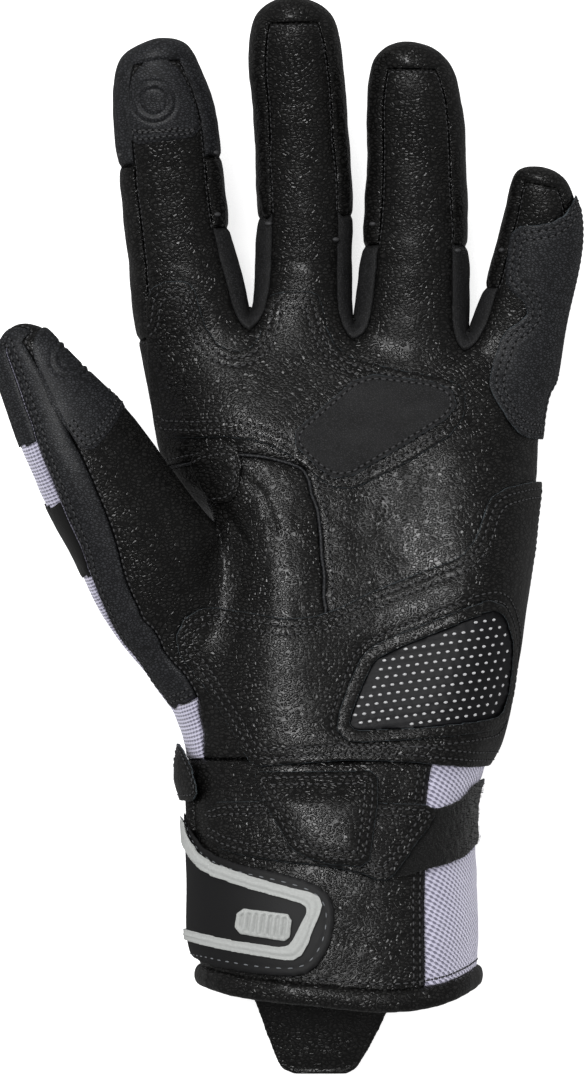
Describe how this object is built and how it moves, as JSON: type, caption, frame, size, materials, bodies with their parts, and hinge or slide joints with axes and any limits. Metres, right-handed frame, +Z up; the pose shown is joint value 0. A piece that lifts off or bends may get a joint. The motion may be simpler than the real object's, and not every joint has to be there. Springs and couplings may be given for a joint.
{
  "type": "motorcycle glove",
  "caption": "Left-hand riding glove in leather panels with palm reinforcements, a slider insert at the heel of the hand, a wrist closure and a strapped, bound cuff.",
  "frame": {"origin": "middle of the bounding box, on the floor that the back of the hand lies on", "axes": "+Z up out of the palm, +Y from the cuff to the fingertips, +X from the thumb side to the little finger"},
  "size_m": [0.1526, 0.2808, 0.0534],
  "materials": {
    "black_leather": "pebbled goat leather, semi-gloss",
    "smooth_leather": "smooth charcoal leather",
    "suede": "matte suede",
    "light_mesh": "light grey-lilac air mesh",
    "black_cloth": "black loop and stretch textile",
    "black_rubber": "matte black coated strap",
    "pale_rubber": "light grey moulded trim",
    "slider_weave": "dark woven insert with rows of light dots"
  },
  "bodies": {
    "root": {"palm_panel": "black_leather", "thumb_panel": "black_leather", "back_panel": "black_leather", "index_sidewall_outer": "black_leather", "index_sidewall_inner": "black_leather", "index_tip_band": "smooth_leather", "middle_sidewall": "black_leather", "ring_sidewall": "black_leather", "little_sidewall": "black_leather", "gusset_index_middle": "suede", "gusset_middle_ring": "suede", "gusset_ring_little": "suede", "thumb_sidewall": "smooth_leather", "thumb_back": "light_mesh", "cuff_front": "black_leather", "cuff_mesh": "light_mesh", "cuff_back": "black_leather", "upper_palm_overlay": "black_leather", "palm_diamond_patch": "suede", "heel_overlay": "black_leather", "heel_slider": "slider_weave", "slider_frame": "black_leather", "little_finger_overlay": "smooth_leather", "index_touch_tip": "smooth_leather", "thumb_touch_tip": "smooth_leather", "thumb_crotch_patch": "black_leather", "hook_loop_patch": "black_cloth", "wrist_strap": "black_leather", "wrist_flap": "black_leather", "strap_loop": "black_leather", "cuff_strap": "black_rubber", "strap_frame": "pale_rubber", "strap_badge": "pale_rubber", "cuff_binding": "black_leather", "pull_tab": "black_leather"}
  },
  "joints": []
}
